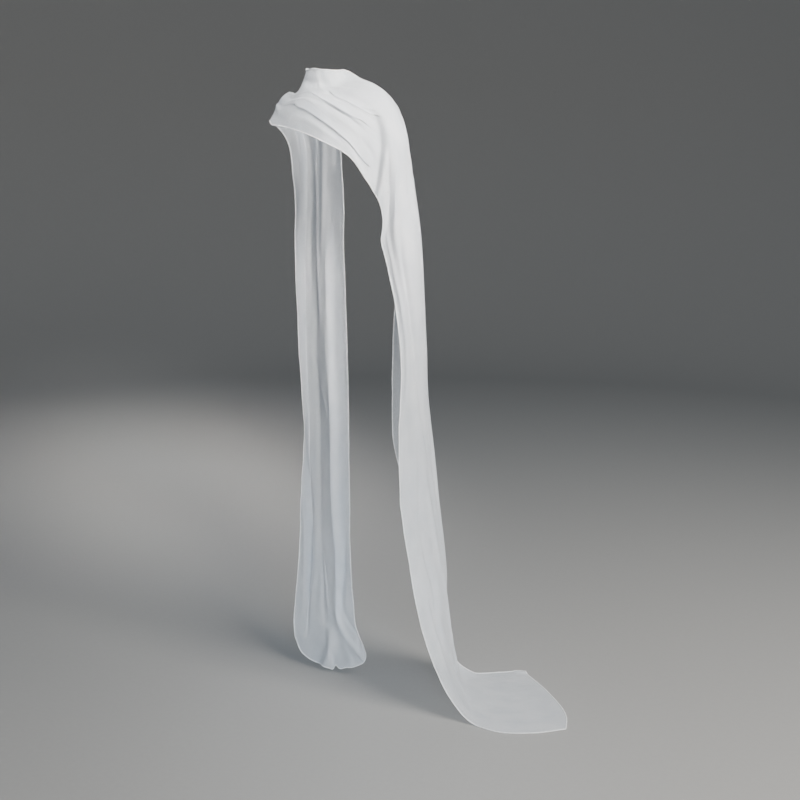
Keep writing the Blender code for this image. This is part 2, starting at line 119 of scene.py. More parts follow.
# The columns of the tables below
Section = namedtuple("Section", "name pitch guides")
PleatKey = namedtuple("PleatKey", "section place overlap fold")
Crease = namedtuple("Crease", "name lower upper height path")
Ruffle = namedtuple("Ruffle", "seed along across height")
Lamp = namedtuple("Lamp", "name place aim size energy colour beam")

# The scarf's sections in order. Each row holds the section's name, the pitch of the rows up to
# the next section in mm, and its guide points in mm, from the lower (then front) hem to the
# upper (then back) hem.
SECTIONS = [Section(*row) for row in (
    ("tail_end", 5, ((-197, 120, -1344), (-180, 121, -1382), (-157, 121, -1397),
                     (-128, 122, -1403), (-112, 122, -1402), (-96, 122, -1408),
                     (-86, 123, -1413), (-76, 123, -1399), (-66, 123, -1407),
                     (-45, 124, -1400), (-27, 125, -1396), (-16, 130, -1391),
                     (1, 134, -1379), (7, 134, -1360), (0, 134, -1337))),
    ("tail_flare", 7, ((-199, 120, -1290), (-60, 121, -1292), (-16, 125, -1286))),
    ("tail_calf", 8, ((-184, 121, -1140), (-28, 121, -1140))),
    ("tail_knee", 9, ((-170, 122, -930), (-30, 122, -930))),
    ("tail_thigh", 9, ((-159, 121, -760), (-31, 121, -760))),
    ("tail_seat", 9, ((-169, 122, -600), (-33, 122, -600))),
    ("tail_waist", 9, ((-170, 114, -390), (-34, 114, -390))),
    ("tail_blade", 7, ((-166, 106, -200), (-100, 114, -196), (-34, 110, -190))),
    ("back", 4, ((-165, 88, -110), (-112, 102, -98), (-36, 94, -76))),
    ("behind_shoulder", 3.5, ((-165, 54, -74), (-140, 64, -48), (-108, 68, -30), (-72, 66, -12),
                              (-42, 52, 20))),
    ("shoulder_top", 3, ((-160, 8, -56), (-147, 16, -22), (-114, 12, 5), (-84, 5, -1),
                         (-70, 3, 13), (-65, 3, 26), (-54, 3, 38), (-48, 3, 46))),
    ("shoulder_front", 2.6, ((-133, -25, -67), (-122, -22, -42), (-92, -24, -16), (-68, -22, -2),
                             (-54, -22, 18), (-41, -24, 46))),
    ("collarbone", 2.6, ((-86, -53, -74), (-76, -52, -44), (-58, -50, -20), (-44, -44, -2),
                         (-36, -41, 16), (-32, -41, 42))),
    ("throat", 2.6, ((-30, -84, -86), (-24, -78, -50), (-18, -68, -22), (-12, -58, -2),
                     (-9, -52, 16), (-7, -51, 43))),
    ("breast", 2.6, ((52, -110, -113), (44, -98, -64), (36, -82, -28), (27, -66, -4),
                     (20, -52, 14), (17, -48, 38))),
    ("breast_side", 2.6, ((113, -103, -145), (97, -94, -78), (80, -76, -34), (60, -54, -4),
                          (45, -36, 14), (41, -31, 37))),
    ("armpit", 2.6, ((135, -82, -186), (142, -74, -104), (128, -58, -46), (96, -34, 2),
                     (62, -14, 22), (50, -6, 40))),
    ("shoulder_left", 3, ((147, -72, -207), (168, -58, -134), (165, -36, -62), (132, -6, -2),
                          (90, 16, 18), (52, 24, 34))),
    ("upper_arm", 3.5, ((160, -61, -240), (186, -44, -168), (191, -14, -92), (152, 26, -34),
                        (110, 46, -6), (72, 56, 6))),
    ("mid_arm", 4, ((163, -53, -285), (191, -36, -222), (197, 4, -160), (162, 48, -100),
                    (104, 78, -66))),
    ("above_elbow", 5, ((157, -50, -318), (196, -34, -274), (206, 10, -232), (174, 56, -188),
                        (114, 82, -160))),
    ("elbow", 6, ((168, -42, -373), (204, -30, -344), (217, 14, -318), (190, 58, -290),
                  (122, 80, -268))),
    ("below_elbow", 7, ((184, -40, -442), (210, -26, -424), (221, 20, -408), (196, 64, -390),
                        (124, 82, -372))),
    ("waist", 7, ((198, -35, -590), (218, -14, -572), (225, 32, -556), (190, 78, -540),
                  (112, 90, -520))),
    ("hip", 7, ((192, -36, -740), (214, -10, -722), (222, 50, -706), (190, 96, -690),
                (104, 98, -664))),
    ("thigh", 7, ((198, -40, -885), (216, -6, -868), (221, 62, -850), (203, 112, -830),
                  (106, 102, -800))),
    ("knee", 7, ((213, -30, -1019), (228, 10, -1002), (229, 80, -980), (206, 134, -958),
                 (136, 124, -930))),
    ("calf", 7, ((229, -20, -1136), (240, 24, -1122), (240, 96, -1098), (212, 154, -1074),
                 (176, 176, -1054))),
    ("shin", 6, ((253, 0, -1254), (252, 50, -1244), (238, 120, -1224), (206, 190, -1202),
                 (190, 218, -1190))),
    ("ankle", 5, ((291, 20, -1352), (276, 74, -1350), (246, 148, -1340), (206, 228, -1326),
                  (186, 262, -1318))),
    ("touch_down", 5, ((344, 34, -1414), (318, 84, -1416), (276, 158, -1416), (220, 246, -1410),
                       (197, 276, -1396))),
    ("train", 5, ((420, 34, -1420), (388, 92, -1420), (338, 180, -1420), (284, 268, -1420),
                  (246, 286, -1420))),
    ("train_middle", 5, ((486, 66, -1420), (440, 140, -1420), (372, 232, -1420),
                         (294, 318, -1420))),
    ("train_end", 5, ((543, 116, -1420), (524, 172, -1420), (446, 268, -1420), (343, 355, -1420))),
)]
SECTION_NAMES = [section.name for section in SECTIONS]

# Knife pleats: for each, its place across the section (0 lower hem, 1 upper hem), the depth
# of its overlap in mm and how far it is folded (1 a full pleat, 0 flat, -1 folded the other way)
PLEATS = {
    "first": (
        ("tail_end", 0.15, 12, 0.0),
        ("tail_flare", 0.22, 12, 0.45),
        ("tail_calf", 0.22, 24, 1.0),
        ("tail_knee", 0.11, 18, 1.0),
        ("tail_thigh", 0.09, 9, 1.0),
        ("tail_waist", 0.12, 20, 1.0),
        ("back", 0.24, 14, 1.0),
        ("shoulder_top", 0.275, 14, 0.3),
        ("shoulder_front", 0.33, 14, 0.15),
        ("collarbone", 0.385, 14, 0.22),
        ("throat", 0.405, 16, 1.0),
        ("breast", 0.31, 16, 1.0),
        ("breast_side", 0.185, 14, 1.0),
        ("armpit", 0.10, 8, 0.45),
        ("shoulder_left", 0.10, 8, 0.0),
        ("train_end", 0.20, 10, 0.0),
    ),
    "second": (
        ("tail_end", 0.49, 12, 0.0),
        ("tail_blade", 0.46, 12, 0.0),
        ("back", 0.48, 12, 1.0),
        ("shoulder_top", 0.53, 12, 0.3),
        ("throat", 0.62, 10, 0.2),
        ("breast", 0.585, 12, 0.9),
        ("breast_side", 0.485, 14, 1.0),
        ("armpit", 0.39, 10, 0.3),
        ("shoulder_left", 0.34, 10, 0.0),
        ("train_end", 0.46, 10, 0.0),
    ),
    "third": (
        ("tail_end", 0.84, 6, -0.3),
        ("tail_flare", 0.775, 8, -0.9),
        ("tail_calf", 0.83, 22, -1.0),
        ("tail_knee", 0.80, 34, -1.0),
        ("tail_waist", 0.79, 34, -1.0),
        ("tail_blade", 0.74, 14, 0.0),
        ("shoulder_top", 0.82, 8, 0.0),
        ("throat", 0.82, 8, 0.0),
        ("breast", 0.76, 8, 0.0),
        ("breast_side", 0.625, 10, 0.9),
        ("armpit", 0.51, 10, 0.8),
        ("shoulder_left", 0.46, 10, 0.0),
        ("train_end", 0.74, 10, 0.0),
    ),
}

# Soft creases: half width in mm on the side of the lower hem and on the side of the upper hem,
# height in mm (outwards for a ridge, inwards for a trough), and the line that each follows:
# section, share of the way to the next, place across
CREASES = [Crease(*row) for row in (
    # neck, chest and right shoulder
    ("neck_base", 7, 7, -4, (("throat", 0.3, 0.77), ("breast", 0.3, 0.82),
                             ("breast_side", 0.4, 0.82), ("armpit", 0.0, 0.80))),
    ("neck_fold", 6, 6, 4, (("breast_side", 0.1, 0.73), ("armpit", 0.0, 0.69),
                            ("shoulder_left", 0.5, 0.66))),
    ("neck_dip", 4, 6, -3.5, (("breast_side", 0.2, 0.79), ("armpit", 0.0, 0.735),
                              ("armpit", 0.7, 0.675))),
    ("shoulder_peak", 6, 7, 2.5, (("behind_shoulder", 0.0, 0.20), ("shoulder_top", 0.0, 0.22),
                                  ("shoulder_front", 0.2, 0.22))),
    ("shoulder_dip", 7, 10, -1.2, (("behind_shoulder", 0.4, 0.10), ("shoulder_top", 0.3, 0.12),
                                   ("collarbone", 0.2, 0.10))),
    ("shoulder_roll", 5, 8, 1.5, (("back", 0.6, 0.52), ("shoulder_top", 0.0, 0.50),
                                  ("collarbone", 0.6, 0.53))),
    ("throat_hollow", 9, 9, -3, (("shoulder_front", 0.4, 0.82), ("collarbone", 0.5, 0.80),
                                 ("throat", 0.6, 0.78))),
    ("collar_shadow", 10, 8, -4, (("throat", 0.1, 0.66), ("breast", 0.1, 0.66),
                                  ("breast_side", 0.0, 0.675), ("breast_side", 0.5, 0.635),
                                  ("breast_side", 0.95, 0.58), ("armpit", 0.35, 0.53))),
    ("chest_fall", 8, 8, 1.5, (("collarbone", 0.4, 0.20), ("throat", 0.6, 0.18),
                               ("breast", 0.8, 0.08))),
    ("chest_dip", 6, 10, -0.8, (("collarbone", 0.8, 0.25), ("throat", 0.8, 0.235),
                                ("breast", 0.7, 0.15))),
    ("chest_wedge", 7, 3, -4.5, (("breast", 0.1, 0.505), ("breast", 0.6, 0.475),
                                 ("breast_side", 0.1, 0.43), ("breast_side", 0.8, 0.35))),
    ("chest_soft", 10, 13, 2, (("breast", 0.3, 0.40), ("breast_side", 0.2, 0.33),
                               ("breast_side", 0.9, 0.25))),
    ("drape_side", 7, 9, -3, (("breast_side", 0.6, 0.26), ("armpit", 0.2, 0.20),
                              ("armpit", 0.8, 0.10))),
    ("armpit_trough", 20, 10, -14, (("armpit", 0.25, 0.52), ("armpit", 0.50, 0.42),
                                    ("armpit", 0.78, 0.28), ("armpit", 0.93, 0.16),
                                    ("shoulder_left", 0.2, 0.05), ("shoulder_left", 0.5, -0.12))),
    ("arm_strip", 10, 9, -4.5, (("armpit", 0.85, 0.36), ("shoulder_left", 0.33, 0.25),
                                ("shoulder_left", 0.92, 0.15), ("upper_arm", 0.67, 0.10),
                                ("above_elbow", 0.2, 0.08))),
    ("arm_ridge", 9, 9, 5, (("shoulder_left", 0.6, 0.32), ("upper_arm", 0.2, 0.22),
                            ("mid_arm", 0.5, 0.17), ("elbow", 0.0, 0.12))),
    # left shoulder and arm
    ("arm_front", 5, 9, -5, (("above_elbow", 0.4, 0.18), ("elbow", 0.5, 0.15),
                             ("below_elbow", 0.4, 0.15), ("waist", 0.1, 0.18), ("hip", 0.2, 0.30),
                             ("hip", 0.8, 0.40))),
    ("arm_front_lip", 4, 6, 2.5, (("mid_arm", 0.6, 0.07), ("elbow", 0.3, 0.05),
                                  ("below_elbow", 0.6, 0.06), ("waist", 0.6, 0.05))),
    ("arm_side", 10, 14, -3, (("shoulder_left", 0.7, 0.50), ("mid_arm", 0.0, 0.42),
                              ("elbow", 0.4, 0.38), ("waist", 0.0, 0.36))),
    ("arm_back_1", 10, 10, -9, (("upper_arm", 0.4, 0.62), ("above_elbow", 0.0, 0.64),
                                ("below_elbow", 0.0, 0.66), ("hip", 0.5, 0.68))),
    ("arm_back_2", 9, 9, 8, (("shoulder_left", 0.5, 0.74), ("mid_arm", 0.0, 0.76),
                             ("elbow", 0.0, 0.78), ("waist", 0.0, 0.80))),
    ("arm_back_3", 8, 8, -7, (("mid_arm", 0.0, 0.88), ("elbow", 0.0, 0.90), ("waist", 0.6, 0.90))),
    ("arm_back_4", 5, 8, 3.5, (("armpit", 0.6, 0.90), ("upper_arm", 0.2, 0.86),
                               ("above_elbow", 0.3, 0.84))),
    ("arm_back_5", 6, 5, -3, (("shoulder_left", 0.2, 0.82), ("upper_arm", 0.6, 0.70),
                              ("mid_arm", 0.6, 0.56))),
    # the fall from the arm to the floor
    ("fall_back_1", 10, 10, 5, (("waist", 0.0, 0.60), ("hip", 0.5, 0.58), ("knee", 0.0, 0.62),
                                ("calf", 0.5, 0.70))),
    ("fall_back_2", 9, 9, -8, (("hip", 0.0, 0.78), ("thigh", 0.5, 0.80), ("knee", 0.6, 0.84))),
    ("fall_back_3", 5, 7, 3, (("waist", 0.4, 0.74), ("hip", 0.8, 0.86), ("thigh", 0.8, 0.90))),
    ("fall_back_4", 6, 4, -3, (("thigh", 0.3, 0.66), ("knee", 0.5, 0.70), ("shin", 0.2, 0.80))),
    ("fall_front_1", 10, 10, 4, (("waist", 0.5, 0.12), ("hip", 0.6, 0.16), ("knee", 0.0, 0.10))),
    ("fall_front_2", 12, 12, 5, (("hip", 0.8, 0.30), ("thigh", 0.6, 0.36), ("knee", 0.8, 0.46))),
    ("fall_front_3", 4, 8, -2.5, (("waist", 0.6, 0.30), ("hip", 0.5, 0.42), ("thigh", 0.2, 0.50))),
    ("fall_side", 8, 12, -3, (("waist", 0.2, 0.48), ("hip", 0.6, 0.50), ("thigh", 0.8, 0.56))),
    ("shin_trough", 6, 11, -9, (("thigh", 0.8, 0.17), ("knee", 0.4, 0.22), ("calf", 0.0, 0.29),
                                ("calf", 0.9, 0.28), ("shin", 0.4, 0.35), ("ankle", 0.1, 0.49),
                                ("ankle", 0.8, 0.48), ("touch_down", 0.1, 0.36))),
    ("shin_ridge", 10, 10, 6, (("calf", 0.0, 0.50), ("shin", 0.2, 0.60), ("ankle", 0.0, 0.66),
                               ("ankle", 0.8, 0.66))),
    ("shin_light", 7, 5, 3, (("calf", 0.0, 0.15), ("calf", 0.6, 0.17), ("shin", 0.3, 0.21),
                             ("shin", 0.9, 0.24))),
    # the train on the floor
    ("train_ripple_1", 18, 16, 0.9, (("touch_down", 0.2, 0.60), ("train", 0.5, 0.62),
                                     ("train_end", 0.0, 0.70))),
    ("train_ripple_2", 16, 14, 0.6, (("ankle", 0.6, 0.26), ("train", 0.0, 0.28),
                                     ("train_end", 0.0, 0.34))),
    ("train_ripple_3", 12, 14, 0.7, (("touch_down", 0.6, 0.86), ("train_middle", 0.3, 0.90))),
    ("train_ripple_4", 10, 12, 0.4, (("train", 0.2, 0.46), ("train_middle", 0.4, 0.50),
                                     ("train_middle", 0.9, 0.48))),
    ("train_corner", 5, 8, 6, (("train_middle", 0.55, 0.99), ("train_middle", 0.9, 0.955),
                               ("train_end", 0.2, 0.93))),
    # the tail down the back
    ("tail_valley", 7, 9, 6, (("tail_flare", 0.0, 0.53), ("tail_flare", 0.6, 0.51),
                              ("tail_calf", 0.3, 0.44))),
    ("tail_lobe", 13, 13, -12, (("tail_end", -0.4, 0.42), ("tail_end", 0.4, 0.52),
                                ("tail_flare", 0.0, 0.60))),
    ("tail_leaf", 5, 2.4, -4.5, (("tail_flare", 0.25, 0.60), ("tail_flare", 0.8, 0.53),
                                 ("tail_calf", 0.2, 0.46))),
    ("tail_right", 5, 7, 4, (("tail_end", 0.3, 0.89), ("tail_flare", 0.3, 0.85),
                             ("tail_calf", 0.1, 0.89), ("tail_calf", 0.6, 0.95))),
    ("tail_band", 22, 11, -12, (("tail_flare", 0.7, 0.72), ("tail_calf", 0.1, 0.76),
                                ("tail_knee", 0.0, 0.68), ("tail_thigh", 0.0, 0.67),
                                ("tail_waist", 0.0, 0.67), ("tail_blade", 0.0, 0.66))),
    ("tail_band_edge", 7, 4.5, -2.6, (("tail_end", 0.2, 0.82), ("tail_flare", 0.2, 0.74),
                                      ("tail_calf", 0.1, 0.76), ("tail_knee", 0.0, 0.685),
                                      ("tail_thigh", 0.0, 0.675), ("tail_waist", 0.5, 0.675))),
    ("tail_band_low", 15, 6, -7.5, (("tail_end", 0.0, 0.85), ("tail_end", 0.8, 0.80),
                                    ("tail_flare", 0.5, 0.76), ("tail_calf", 0.2, 0.75))),
    ("tail_middle", 9, 9, 4, (("tail_flare", 0.0, 0.36), ("tail_calf", 0.5, 0.42),
                              ("tail_thigh", 0.0, 0.36), ("tail_waist", 0.0, 0.42))),
    ("tail_left", 9, 12, -2, (("tail_end", 0.4, 0.10), ("tail_calf", 0.0, 0.12),
                              ("tail_knee", 0.0, 0.05))),
    ("tail_strip", 40, 2.8, 4.5, (("tail_end", 0.5, 0.22), ("tail_flare", 0.4, 0.24),
                                  ("tail_calf", 0.1, 0.26), ("tail_knee", 0.0, 0.19),
                                  ("tail_knee", 0.6, 0.05), ("tail_thigh", 0.0, 0.01))),
    ("tail_nick", 3, 5, -3, (("tail_thigh", 0.0, 0.60), ("tail_thigh", 0.3, 0.50),
                             ("tail_thigh", 0.5, 0.40))),
    ("back_fold_1", 10, 10, 7, (("tail_seat", 0.5, 0.30), ("tail_blade", 0.0, 0.34),
                                ("behind_shoulder", 0.0, 0.36))),
    ("back_fold_2", 9, 9, -6, (("tail_waist", 0.0, 0.58), ("tail_blade", 0.5, 0.62),
                               ("behind_shoulder", 0.5, 0.64))),
    ("back_fold_3", 8, 8, 6, (("tail_blade", 0.2, 0.86), ("back", 0.6, 0.84),
                              ("shoulder_top", 0.0, 0.74))),
    ("back_fold_4", 4, 6, -3, (("tail_seat", 0.2, 0.50), ("tail_waist", 0.3, 0.46),
                               ("tail_blade", 0.6, 0.42))),
)]

# Ruffles: soft uneven waves over the whole cloth, with a seed each, and their spacing along and
# across the scarf and their height in mm
RUFFLES = [Ruffle(*row) for row in (
    (11, 420, 34, 1.2),
    (12, 150, 24, 0.45),
    (13, 46, 17, 0.22),
    (14, 15, 11, 0.08),
)]
HEM_RUFFLE = Ruffle(15, 34, 40, 1.5)  # extra wave at the hems
HEM_DRIFT = Ruffle(16, 90, 400, 1.0)  # how far the hem strays from its line
LOWER_WAVE = 0.1                      # metres by which the lower hem's wave is moved along,
LOWER_DRIFT = 0.2                     # and its drift, so that the two hems differ

NODES = ("back_tail", "right_shoulder", "front_drape", "left_shoulder", "arm_streamer",
         "floor_train")

# The lights: soft rectangles, in metres and watts, each with its beam's width in degrees. The key
# stands high on the wearer's left and a cool fill on the right. A narrow low one aims at the
# tail's end, a narrow top one at the left shoulder, and the rim light stands behind.
LAMPS = [Lamp(*row) for row in (
    ("key", (2.85, -0.80, 1.20), (0.05, 0.0, -0.45), (1.4, 1.8), 225.0, (1.0, 0.965, 0.92), 180.0),
    ("fill", (-2.3, -2.2, 0.3), (0.0, 0.0, -0.7), (1.8, 1.8), 12.0, (0.62, 0.80, 1.0), 180.0),
    ("low", (1.7, -2.0, -0.6), (-0.02, 0.1, -1.3), (0.7, 0.7), 1.5, (0.76, 0.88, 1.0), 24.0),
    ("top", (1.9, -1.4, 1.3), (0.12, 0.0, 0.04), (1.0, 0.9), 9.0, (1.0, 0.975, 0.94), 20.0),
    ("rim", (-0.9, 2.4, 1.5), (0.05, 0.0, -0.5), (1.2, 1.2), 6.0, (0.80, 0.90, 1.0), 180.0),
)]


# The cloth's middle surface

def smooth_step(x):
    """Ease from 0 to 1."""
    x = np.clip(x, 0.0, 1.0)
    return x * x * (3.0 - 2.0 * x)


def hermite_tangents(knots, values):
    """Slopes for a smooth curve through values at uneven knots."""
    slopes = np.diff(values, axis=0) / np.diff(knots)[:, None]
    tangents = np.empty_like(values)
    tangents[0] = slopes[0]
    tangents[-1] = slopes[-1]
    steps = np.diff(knots)
    before = steps[:-1, None]
    after = steps[1:, None]
    tangents[1:-1] = (slopes[:-1] * after + slopes[1:] * before) / (before + after)
    return tangents


def level_tangents(knots, values):
    """Slopes for a smooth curve that never swings past its values."""
    slopes = np.diff(values, axis=0) / np.diff(knots)[:, None]
    before = slopes[:-1]
    after = slopes[1:]
    level = before * after <= 0
    tangents = np.zeros_like(values)
    total = np.where(level, 1.0, before + after)
    tangents[1:-1] = np.where(level, 0.0, 2 * before * after / total)
    return tangents


def hermite(knots, values, tangents, at):
    """The smooth curve's points at several places along the knots."""
    at = np.asarray(at, float)
    index = np.clip(np.searchsorted(knots, at) - 1, 0, len(knots) - 2)
    step = (knots[index + 1] - knots[index])[:, None]
    t = (at - knots[index])[:, None] / step
    start = (1 + 2 * t) * (1 - t) ** 2 * values[index] + t * (1 - t) ** 2 * step * tangents[index]
    end = t * t * (3 - 2 * t) * values[index + 1] + t * t * (t - 1) * step * tangents[index + 1]
    return start + end


def run_length(points):
    """Distance along a line of points."""
    return np.concatenate(([0.0], np.cumsum(np.linalg.norm(np.diff(points, axis=0), axis=1))))


def resample(points, count):
    """Points at even distances along a line of points."""
    run = run_length(points)
    even = np.linspace(0.0, run[-1], count)
    return np.stack([np.interp(even, run, column) for column in points.T], axis=1)


def even_curve(guides):
    """A smooth curve through the guide points, at even distances."""
    points = np.array(guides, float)
    knots = run_length(points)
    fine = hermite(knots, points, hermite_tangents(knots, points),
                   np.linspace(0.0, knots[-1], 4 * CURVE_SAMPLES))
    return resample(fine, CURVE_SAMPLES)


CURVES = np.array([even_curve(section.guides) for section in SECTIONS]) * MM
SPACING = np.linalg.norm(np.diff(CURVES, axis=0), axis=2).mean(axis=1)
STATIONS = np.concatenate(([0.0], np.cumsum(SPACING)))
FLAT_CURVES = CURVES.reshape(len(SECTIONS), -1)
TANGENTS = hermite_tangents(STATIONS, FLAT_CURVES)
SHARES = np.linspace(0.0, 1.0, CURVE_SAMPLES)


def station(name, share=0.0):
    """Distance along the scarf to a section, or part of the way to the next."""
    index = SECTION_NAMES.index(name)
    return STATIONS[index] + share * SPACING[min(index, len(SPACING) - 1)]


def base_curves(at):
    """The unpleated surface's curves across the scarf at several distances along it."""
    return hermite(STATIONS, FLAT_CURVES, TANGENTS, at).reshape(len(at), -1, 3)


def unit(vectors):
    """Vectors scaled to length 1."""
    return vectors / np.linalg.norm(vectors, axis=-1, keepdims=True)


def section_lengths(at):
    """Lengths of the base curves across the scarf."""
    return np.linalg.norm(np.diff(base_curves(at), axis=1), axis=2).sum(axis=1)


def pleat_track(rows, at):
    """A pleat's place, overlap and fold at each distance along the scarf."""
    keys = [PleatKey(*row) for row in rows]
    knots = np.array([station(key.section) for key in keys])
    values = np.array([(key.place, key.overlap * MM, key.fold) for key in keys])
    return hermite(knots, values, level_tangents(knots, values), at)


def pleat_profile(overlap, fold, length):
    """A pleat's points: shares of the section's length and heights off the surface.

    As the fold grows, flat cloth first rises as a step, then its layers come to overlap. Heights
    are worked out in turns' radii: the bottom layer lies at -2, the top one at 2.
    """
    rise = min(abs(fold) / LAP_START, 1.0)
    lap = max(abs(fold) - LAP_START, 0.0) / (1.0 - LAP_START)
    half = overlap / 2
    reach = half + PLEAT_MARGIN
    turn = np.linspace(-90.0, 90.0, TURN_COLUMNS + 1) * math.pi / 180
    middle = np.linspace(half, -half, MIDDLE_COLUMNS + 1)[1:-1]
    lapped = np.concatenate((half + PLEAT_TURN * np.cos(turn), middle,
                             -half - PLEAT_TURN * np.cos(turn)))
    layered = np.concatenate((np.sin(turn) - 1.0, np.zeros_like(middle), np.sin(turn) + 1.0))
    flat = np.linspace(-FLAT_SPAN * reach, FLAT_SPAN * reach, len(lapped))
    step = 2.0 * np.sin(np.linspace(-0.5, 0.5, len(lapped)) * math.pi)
    along = flat * (1.0 - rise) + lapped * lap
    height = step + (layered - step) * lap
    layer = np.linspace(0.0, 1.0, LAYER_COLUMNS + 1)
    below = -reach + layer[:-1] * (along[0] + reach)
    above = along[-1] + layer[1:] * (reach - along[-1])
    along = np.concatenate((below, along, above))
    height = np.concatenate((np.full(len(below), -2.0), height, np.full(len(above), 2.0)))
    edge = along + half + PLEAT_TURN
    lip = PLEAT_LIP * lap * np.exp(-(edge / np.where(edge < 0, LIP_BELOW, LIP_ABOVE)) ** 2)
    return along / length, (height * PLEAT_TURN * rise + lip) * math.copysign(1.0, fold)


def cross_profile(pleats, length):
    """Shares across the section and heights off it, for every column of points."""
    shares = []
    heights = []
    done = 0.0
    lift = 0.0
    for (place, overlap, fold), columns in zip(pleats, GAP_COLUMNS):
        pleat_shares, pleat_heights = pleat_profile(overlap, fold, length)
        start = place + pleat_shares[0]
        gap = np.linspace(0.0, 1.0, columns + 1)[:-1]
        shares.append(done + gap * (start - done))
        heights.append(lift + (pleat_heights[0] - lift) * smooth_step(gap))
        shares.append(place + pleat_shares[:-1])
        heights.append(pleat_heights[:-1])
        done = place + pleat_shares[-1]
        lift = pleat_heights[-1]
    gap = np.linspace(0.0, 1.0, GAP_COLUMNS[-1] + 1)
    shares.append(done + gap * (1.0 - done))
    heights.append(lift * (1.0 - smooth_step(gap)))
    return np.concatenate(shares), np.concatenate(heights)


def crease_line(path):
    """A crease's smooth line on the flat cloth: metres along the scarf and in from its edge."""
    at = np.array([station(name, share) for name, share, place in path])
    across = section_lengths(np.clip(at, 0.0, STATIONS[-1])) * [place for _, _, place in path]
    points = np.stack([at, across], axis=1)
    knots = run_length(points)
    count = CREASE_STEPS * (len(points) - 1) + 1
    return hermite(knots, points, hermite_tangents(knots, points),
                   np.linspace(0.0, knots[-1], count))


def crease_heights(at, across):
    """Height of the soft creases at each spot of the flat cloth."""
    total = np.zeros_like(across)
    for crease in CREASES:
        line = crease_line(crease.path)
        reach = CREASE_REACH * max(crease.lower, crease.upper) * MM
        rows = np.flatnonzero((at > line[:, 0].min() - reach) & (at < line[:, 0].max() + reach))
        if len(rows) == 0:
            continue
        spots_along = np.broadcast_to(at[rows, None], across[rows].shape)
        spots_across = across[rows]
        before = run_length(line)
        nearest = np.full(spots_across.shape, np.inf)
        run = np.zeros_like(spots_across)
        side = np.zeros_like(spots_across)
        for start, step, done in zip(line, np.diff(line, axis=0), before):
            size = math.hypot(*step)
            off_along = spots_along - start[0]
            off_across = spots_across - start[1]
            share = np.clip((off_along * step[0] + off_across * step[1]) / size ** 2, 0.0, 1.0)
            off_along = off_along - share * step[0]
            off_across = off_across - share * step[1]
            distance = np.hypot(off_along, off_across)
            closer = distance < nearest
            nearest = np.where(closer, distance, nearest)
            run = np.where(closer, done + share * size, run)
            side = np.where(closer, step[0] * off_across - step[1] * off_along, side)
        swell = np.abs(np.sin(np.pi * run / before[-1])) ** CREASE_END
        width = np.where(side > 0, crease.upper, crease.lower) * MM
        total[rows] += crease.height * MM * swell * np.exp(-(nearest / width) ** 2)
    return total


def soft_noise(ruffle, along, across):
    """Smooth uneven heights over the flat cloth, in metres."""
    x = along / (ruffle.along * MM)
    y = across / (ruffle.across * MM)
    grid = np.random.default_rng(ruffle.seed).uniform(-1.0, 1.0, (int(x.max()) + 2,
                                                                  int(y.max()) + 2))
    i = np.floor(x).astype(int)
    j = np.floor(y).astype(int)
    s = smooth_step(x - i)
    t = smooth_step(y - j)
    low = grid[i, j] * (1 - t) + grid[i, j + 1] * t
    high = grid[i + 1, j] * (1 - t) + grid[i + 1, j + 1] * t
    return ruffle.height * MM * (low * (1 - s) + high * s)


def row_distances():
    """Distances along the scarf of every row of points."""
    rows = []
    for section, start, size in zip(SECTIONS, STATIONS, SPACING):
        count = max(1, round(size / (section.pitch * MM)))
        rows.extend(start + size * np.arange(count) / count)
    return np.array(rows + [STATIONS[-1]])


def spread(shares, table):
    """A table of points across each section, read at each column's share."""
    return np.array([[np.interp(row, SHARES, columns[:, axis]) for axis in range(3)]
                     for row, columns in zip(shares, table)]).transpose(0, 2, 1)


def cloth_points():
    """The cloth's middle surface: rows of points across the scarf."""
    at = row_distances()
    curves = base_curves(at)
    ahead = (base_curves(np.minimum(at + PROBE, STATIONS[-1]))
             - base_curves(np.maximum(at - PROBE, 0.0)))
    normals = unit(np.cross(unit(ahead), unit(np.gradient(curves, axis=1))))
    lengths = section_lengths(at)
    tracks = np.stack([pleat_track(rows, at) for rows in PLEATS.values()], axis=1)
    profiles = [cross_profile(pleats, length) for pleats, length in zip(tracks, lengths)]
    shares = np.array([profile[0] for profile in profiles])
    heights = np.array([profile[1] for profile in profiles])
    points = spread(shares, curves)
    outward = spread(shares, normals)
    across = shares * lengths[:, None]
    along = np.broadcast_to(at[:, None], across.shape)
    heights = heights + crease_heights(at, across)
    for ruffle in RUFFLES:
        heights = heights + soft_noise(ruffle, along, across)
    for edge, inner, is_lower in ((0, EDGE_SPAN, 1), (-1, -1 - EDGE_SPAN, 0)):
        inward = np.abs(across - across[:, edge:][:, :1])
        near = np.exp(-inward / HEM_REACH)
        heights = heights + near * soft_noise(HEM_RUFFLE, along + LOWER_WAVE * is_lower, across)
        outer = unit(points[:, edge] - points[:, inner])
        drift = soft_noise(HEM_DRIFT, along[:, :1] + LOWER_DRIFT * is_lower, across[:, :1])
        points = points + outer[:, None] * (drift * near)[..., None]
    points = points + outward * heights[..., None]
    points[..., 2] = np.maximum(points[..., 2], FLOOR + LIFT)
    return points


# Meshes

def new_object(name, verts, faces):
    """A smooth-shaded object of the given points and faces, riding on the scarf's body."""
    mesh = bpy.data.meshes.new(name)
    mesh.from_pydata([tuple(vert) for vert in verts], [], faces)
    mesh.shade_smooth()
    made = bpy.data.objects.new(name, mesh)
    bpy.context.collection.objects.link(made)
    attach(made, "root")
    return made


def grid_faces(rows, columns):
    """Squares of a grid of points, a row after a row."""
    first = (np.arange(rows - 1)[:, None] * columns + np.arange(columns - 1)).ravel()
    return np.stack([first, first + 1, first + columns + 1, first + columns], axis=1).tolist()


